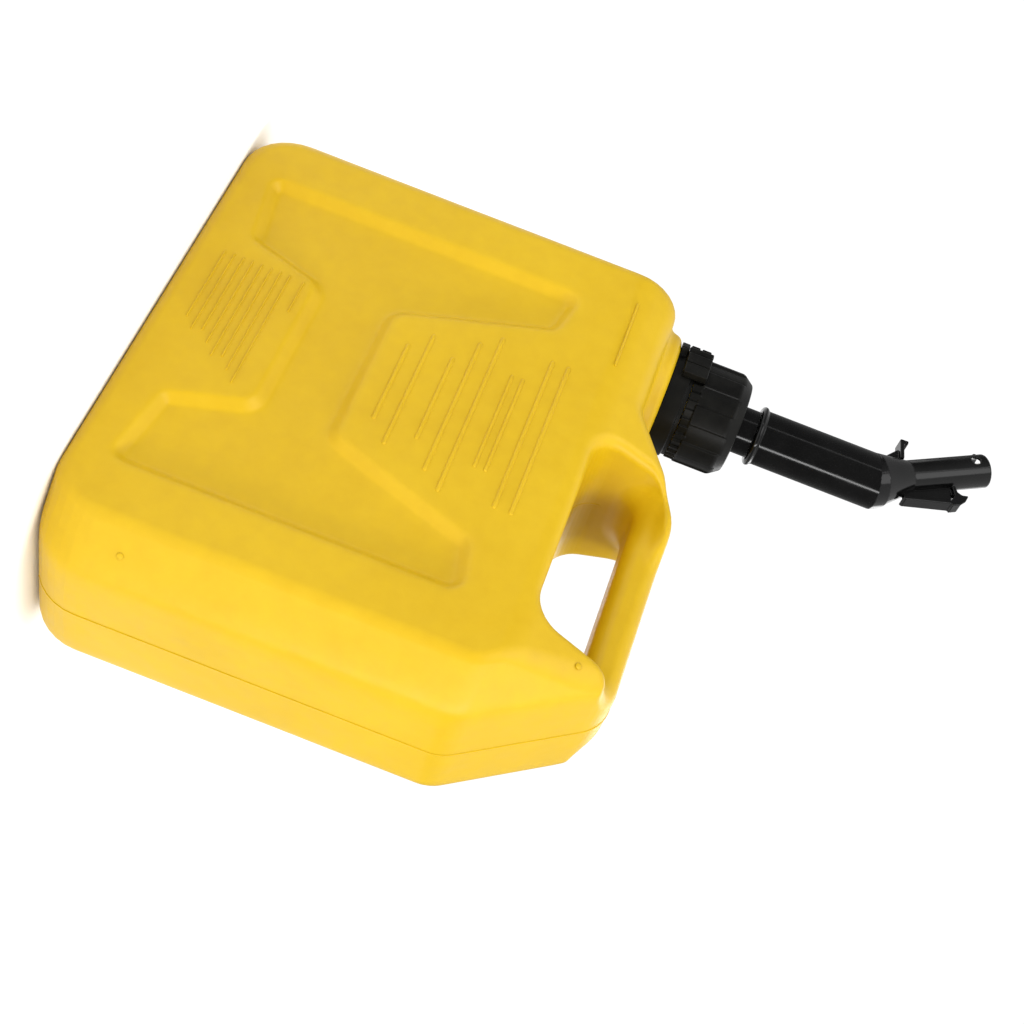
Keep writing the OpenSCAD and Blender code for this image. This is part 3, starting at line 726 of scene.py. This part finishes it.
hook_low, hook_high = extent("rim_hook")
moulded("rim_hook_moulding", hook_shape, hook_low - 0.5, hook_high + 0.5, 0.4,
        PP_GLOSS, "spout", "gloss_black", ("rim_hook",))

CATCH_PLATE = rounded([(-4.65, 10.8, 0.3), (-16.65, 8.6, 0.6), (-16.85, 13.2, 0.6),
                       (-14.65, 13.2, 0.6), (-14.25, 11.2, 0.5), (-4.95, 12.9, 0.3)], 3)
CATCH_WEB = rounded([(-0.05, 1, 0.2), (-0.6, 0.6, 0.2), (-12.05, 9.6, 0.6), (-4.65, 11.6, 0.4),
                     (-3.25, 6.6, 0.4), (-1.85, 4, 0.2)], 2)


def catch_shape(x, y, z):
    u, v = x - NECK_X + BARREL_RADIUS, z - BEND_Z
    plate = both(outline(u, v, CATCH_PLATE), np.abs(y) - 4, 0.4)
    web = both(outline(u, v, CATCH_WEB), np.abs(y) - 1, 0.3)
    return either(plate, web, 0.4)


catch_low, catch_high = extent("rim_catch")
moulded("rim_catch_moulding", catch_shape, catch_low - 0.5, catch_high + 0.5, 0.35,
        PP_GLOSS, "spout", "gloss_black", ("rim_catch",))

# ---------- inner pieces keep their CAD shape and get their real finish ----------

INNER_FINISH = {
    "lever_pin": STEEL, "flame_screen": STEEL, "valve_rod": STEEL, "return_spring": STEEL,
    "neck_gasket": NITRILE, "lower_o_ring": NITRILE, "upper_o_ring": NITRILE, "valve_seal": NITRILE,
    "rod_guide": ACETAL, "valve_plug": ACETAL, "spring_seat": ACETAL, "throat_seat": ACETAL,
    "vent_tube": ACETAL}
for cad_node, finish in INNER_FINISH.items():
    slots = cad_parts[cad_node].data.materials
    for i in range(len(slots)):
        slots[i] = finish

# ---------- floor, light and camera ----------

floor_mesh = bpy.data.meshes.new("studio_floor")
FLOOR_REACH = 60.0
FLOOR_CORNERS = ((-1, -1), (1, -1), (1, 1), (-1, 1))
floor_mesh.from_pydata([(u * FLOOR_REACH, v * FLOOR_REACH, 0) for u, v in FLOOR_CORNERS],
                       [], [(0, 1, 2, 3)])
floor_material, floor_tree = new_material("paper_sweep_matt_white")
finish_material(floor_tree, add_node(floor_tree, "ShaderNodeBsdfPrincipled", {}, {
    "Base Color": srgb("#FEFEFE"), "Roughness": 0.9, "Specular IOR Level": 0.1}))
floor_mesh.materials.append(floor_material)
floor = bpy.data.objects.new("studio_floor", floor_mesh)
bpy.context.scene.collection.objects.link(floor)

# The room is a white tent: brightest overhead, so that the floor stays white to the horizon, and dim
# in front. The can sees that light, and the backdrop itself is plain white.
world = bpy.data.worlds.new("studio_tent")
world.use_nodes = True
tent = world.node_tree
tent.nodes.clear()
heading = add_node(tent, "ShaderNodeTexCoord").outputs["Generated"]
height = add_node(tent, "ShaderNodeSeparateXYZ", {}, {"Vector": heading}).outputs["Z"]
glow = add_node(tent, "ShaderNodeMapRange", {}, {
    "Value": height, "From Min": 0.0, "From Max": 1.0, "To Min": 0.1, "To Max": 1.62})
room = add_node(tent, "ShaderNodeBackground", {}, {
    "Color": srgb("#FFFFFF"), "Strength": glow.outputs["Result"]})
backdrop = add_node(tent, "ShaderNodeBackground", {}, {"Color": srgb("#FFFFFF"), "Strength": 1.05})
seen = add_node(tent, "ShaderNodeLightPath").outputs["Is Camera Ray"]
sky = add_node(tent, "ShaderNodeMixShader", {}, {0: seen, 1: room.outputs[0], 2: backdrop.outputs[0]})
add_node(tent, "ShaderNodeOutputWorld", {}, {"Surface": sky.outputs[0]})
bpy.context.scene.world = world
bpy.context.scene.view_settings.view_transform = "Standard"

OBJECT_CENTRE = Vector((0, 0, 0.2))
VIEW_YAW, VIEW_DOWN, VIEW_ROLL = (math.radians(a) for a in (37.0, 0.774, 111.2))
CAMERA_PLACE = (0.511757, -0.673173, 0.194183)
LENS, FILM_WIDTH = 63.12, 36


def softbox(name, azimuth, elevation, distance, width, height, power):
    """A rectangular softbox aimed at the can. Azimuth 0 stands in front and 90 on the right."""
    light = bpy.data.lights.new(name, "AREA")
    light.shape, light.size, light.size_y, light.energy = "RECTANGLE", width, height, power
    lamp = bpy.data.objects.new(name, light)
    a, e = math.radians(azimuth), math.radians(elevation)
    away = Vector((math.sin(a) * math.cos(e), -math.cos(a) * math.cos(e), math.sin(e)))
    lamp.location = OBJECT_CENTRE + away * distance
    lamp.rotation_mode = "QUATERNION"
    lamp.rotation_quaternion = away.to_track_quat("Z", "Y")
    bpy.context.scene.collection.objects.link(lamp)


softbox("softbox_front", 5, 42, 1.6, 0.8, 0.8, 7)
softbox("softbox_right", 76, 18, 1.6, 0.2, 1.9, 21)
softbox("strip_left", -17, 10, 1.6, 0.07, 1.9, 1.3)
softbox("softbox_back", 205, 35, 1.8, 0.9, 0.9, 7)

right = Vector((math.cos(VIEW_YAW), math.sin(VIEW_YAW), 0))
ahead = Vector((-math.sin(VIEW_YAW) * math.cos(VIEW_DOWN), math.cos(VIEW_YAW) * math.cos(VIEW_DOWN),
                -math.sin(VIEW_DOWN)))
above = right.cross(ahead)
camera_data = bpy.data.cameras.new("view")
camera_data.lens, camera_data.sensor_width = LENS, FILM_WIDTH
camera = bpy.data.objects.new("view", camera_data)
across = right * math.cos(VIEW_ROLL) + above * math.sin(VIEW_ROLL)
upward = above * math.cos(VIEW_ROLL) - right * math.sin(VIEW_ROLL)
camera.matrix_world = Matrix.Translation(CAMERA_PLACE) @ Matrix(
    (across, upward, -ahead)).transposed().to_4x4()
bpy.context.scene.collection.objects.link(camera)
bpy.context.scene.camera = camera
